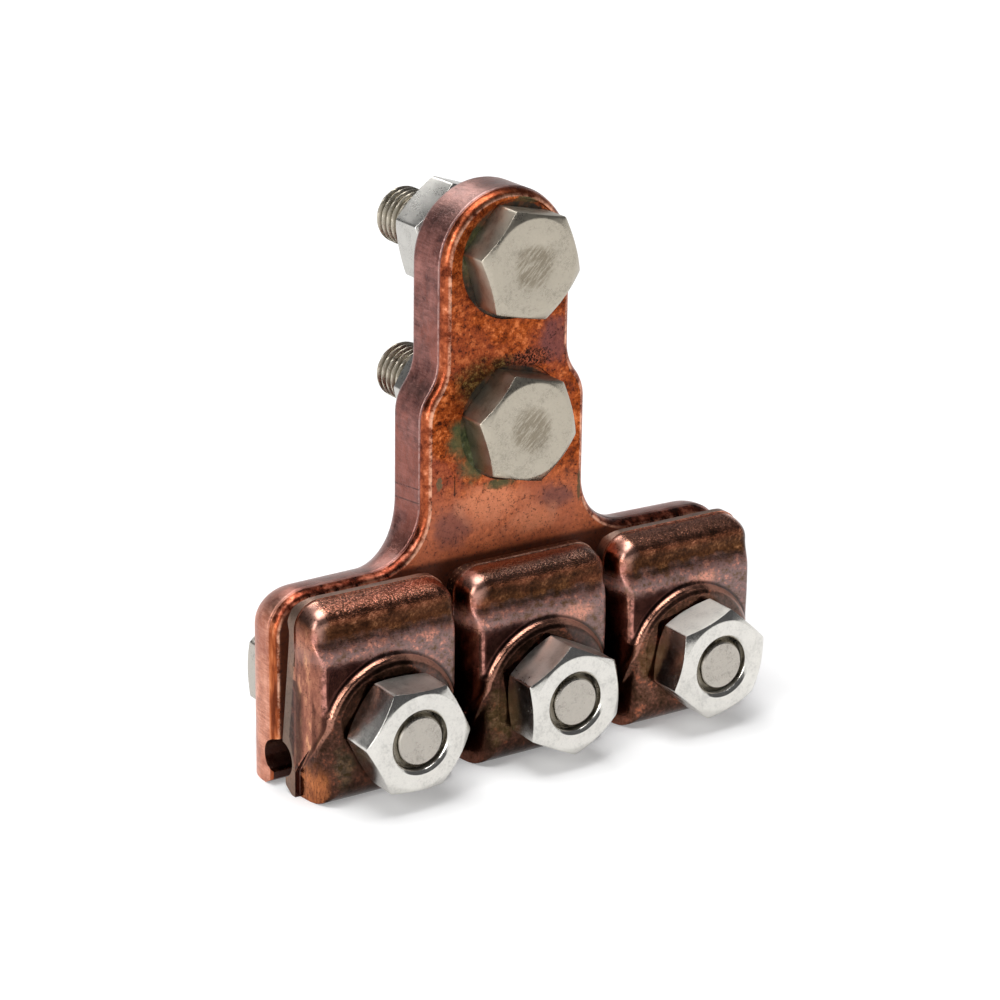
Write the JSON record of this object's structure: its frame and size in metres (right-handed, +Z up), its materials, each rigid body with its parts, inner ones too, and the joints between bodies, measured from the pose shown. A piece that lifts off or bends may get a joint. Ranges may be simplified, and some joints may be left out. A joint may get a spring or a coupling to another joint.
{
  "type": "contact wire feeder clamp",
  "caption": "Forged copper feeder clamp: upright tab with bolts for a cable lug, long bar, and front jaws drawn up by hexagon bolts to grip a grooved overhead wire",
  "frame": {"origin": "on the ground under the middle of the part's box", "axes": "X along the wire, Y from the front with the jaw nuts to the back with the tab nuts, Z up along the tab"},
  "size_m": [0.0908, 0.056, 0.0944],
  "materials": {
    "body_copper": "bright forged copper, mottled, tarnished brown towards the bar",
    "jaw_copper": "dark tarnished forged copper with a grey trimmed rim",
    "stainless": "plain stainless steel, polished nuts and satin heads"
  },
  "bodies": {
    "frame": {"body": "body_copper", "jaw_bolt_left": "stainless", "jaw_bolt_middle": "stainless", "jaw_bolt_right": "stainless"},
    "left_jaw": {"jaw_left": "jaw_copper"},
    "middle_jaw": {"jaw_middle": "jaw_copper"},
    "right_jaw": {"jaw_right": "jaw_copper"},
    "left_nut": {"jaw_nut_left": "stainless"},
    "middle_nut": {"jaw_nut_middle": "stainless"},
    "right_nut": {"jaw_nut_right": "stainless"},
    "upper_bolt": {"tab_bolt_upper": "stainless"},
    "lower_bolt": {"tab_bolt_lower": "stainless"},
    "upper_nut": {"tab_nut_upper": "stainless"},
    "lower_nut": {"tab_nut_lower": "stainless"}
  },
  "joints": [
    {"name": "left_jaw_slide", "type": "slide", "parent": "frame", "child": "left_jaw", "axis": [0, 1, 0], "range_m": [-0.004, 0.0009]},
    {"name": "middle_jaw_slide", "type": "slide", "parent": "frame", "child": "middle_jaw", "axis": [0, 1, 0], "range_m": [-0.004, 0.0009]},
    {"name": "right_jaw_slide", "type": "slide", "parent": "frame", "child": "right_jaw", "axis": [0, 1, 0], "range_m": [-0.004, 0.0009]},
    {"name": "left_nut_turn", "type": "hinge", "parent": "left_jaw", "child": "left_nut", "pos_m": [-0.03, -0.024, 0.0123], "axis": [0, 1, 0], "range_deg": [-966, 219]},
    {"name": "middle_nut_turn", "type": "hinge", "parent": "middle_jaw", "child": "middle_nut", "pos_m": [0, -0.024, 0.0123], "axis": [0, 1, 0], "range_deg": [-966, 219]},
    {"name": "right_nut_turn", "type": "hinge", "parent": "right_jaw", "child": "right_nut", "pos_m": [0.03, -0.024, 0.0123], "axis": [0, 1, 0], "range_deg": [-966, 219]},
    {"name": "upper_bolt_turn", "type": "hinge", "parent": "frame", "child": "upper_bolt", "pos_m": [0, 0, 0.0826], "axis": [0, 1, 0], "range_deg": [-2520, 840]},
    {"name": "lower_bolt_turn", "type": "hinge", "parent": "frame", "child": "lower_bolt", "pos_m": [0, 0, 0.0551], "axis": [0, 1, 0], "range_deg": [-2520, 840]},
    {"name": "upper_nut_slide", "type": "slide", "parent": "frame", "child": "upper_nut", "axis": [0, 1, 0], "range_m": [-0.00352, 0.01053]},
    {"name": "lower_nut_slide", "type": "slide", "parent": "frame", "child": "lower_nut", "axis": [0, 1, 0], "range_m": [-0.00352, 0.01053]}
  ],
  "couplings": [
    {"joint": "left_nut_turn", "follows": "left_jaw_slide", "rad_per_m": 4188.8},
    {"joint": "middle_nut_turn", "follows": "middle_jaw_slide", "rad_per_m": 4188.8},
    {"joint": "right_nut_turn", "follows": "right_jaw_slide", "rad_per_m": 4188.8},
    {"joint": "upper_nut_slide", "follows": "upper_bolt_turn", "m_per_rad": -0.00023873},
    {"joint": "lower_nut_slide", "follows": "lower_bolt_turn", "m_per_rad": -0.00023873}
  ]
}
